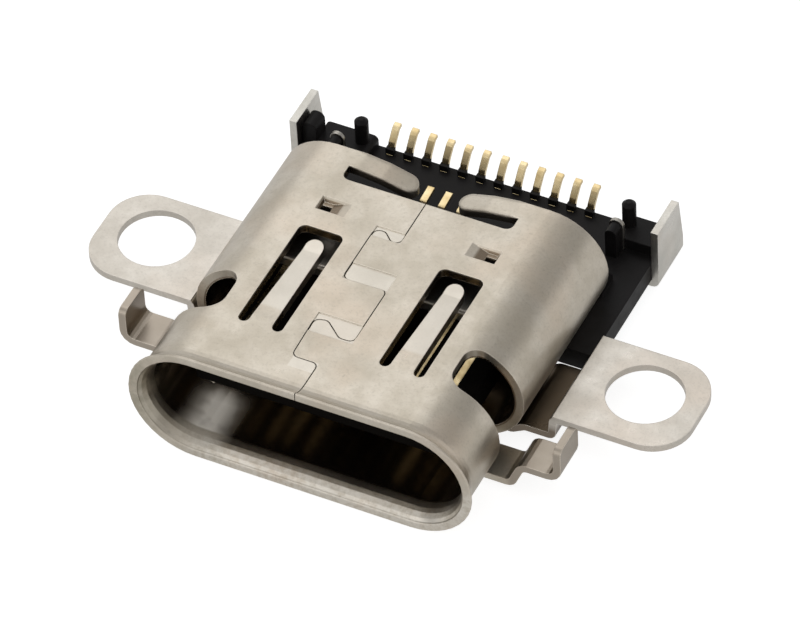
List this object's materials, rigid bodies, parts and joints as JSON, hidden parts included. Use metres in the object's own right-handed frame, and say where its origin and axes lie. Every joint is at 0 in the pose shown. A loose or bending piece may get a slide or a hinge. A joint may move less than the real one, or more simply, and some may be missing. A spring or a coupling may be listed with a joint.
{
  "type": "usb-c socket",
  "caption": "Board-mounted reversible plug socket with a rolled steel shell, a bracket with two screw ears, a tongue with two contact rows and rear solder feet.",
  "frame": {"origin": "centre of the mouth, in the plane of its rim", "axes": "+X along the width of the mouth, +Y from the mouth to the rear, +Z towards the circuit board that the solder feet reach"},
  "size_m": [0.0164, 0.0112, 0.0034],
  "materials": {
    "shell_steel": "satin nickel plate",
    "bracket_steel": "satin nickel plate",
    "inner_steel": "plain",
    "black_plastic": "moulded, matte",
    "contact_gold": "gold plate"
  },
  "bodies": {
    "root": {"shell": "shell_steel", "mounting_bracket": "bracket_steel", "housing": "black_plastic", "tongue": "black_plastic", "upper_insulator": "black_plastic", "lower_insulator": "black_plastic", "middle_plate": "inner_steel", "upper_ground_shield": "inner_steel", "lower_ground_shield": "inner_steel", "rear_tab_left": "bracket_steel", "rear_tab_right": "bracket_steel", "upper_contact_1": "contact_gold", "upper_contact_2": "contact_gold", "upper_contact_3": "contact_gold", "upper_contact_4": "contact_gold", "upper_contact_5": "contact_gold", "upper_contact_6": "contact_gold", "upper_contact_7": "contact_gold", "upper_contact_8": "contact_gold", "upper_contact_9": "contact_gold", "upper_contact_10": "contact_gold", "upper_contact_11": "contact_gold", "upper_contact_12": "contact_gold", "lower_contact_1": "contact_gold", "lower_contact_2": "contact_gold", "lower_contact_3": "contact_gold", "lower_contact_4": "contact_gold", "lower_contact_5": "contact_gold", "lower_contact_6": "contact_gold", "lower_contact_7": "contact_gold", "lower_contact_8": "contact_gold", "lower_contact_9": "contact_gold", "lower_contact_10": "contact_gold", "lower_contact_11": "contact_gold", "lower_contact_12": "contact_gold"}
  },
  "joints": []
}
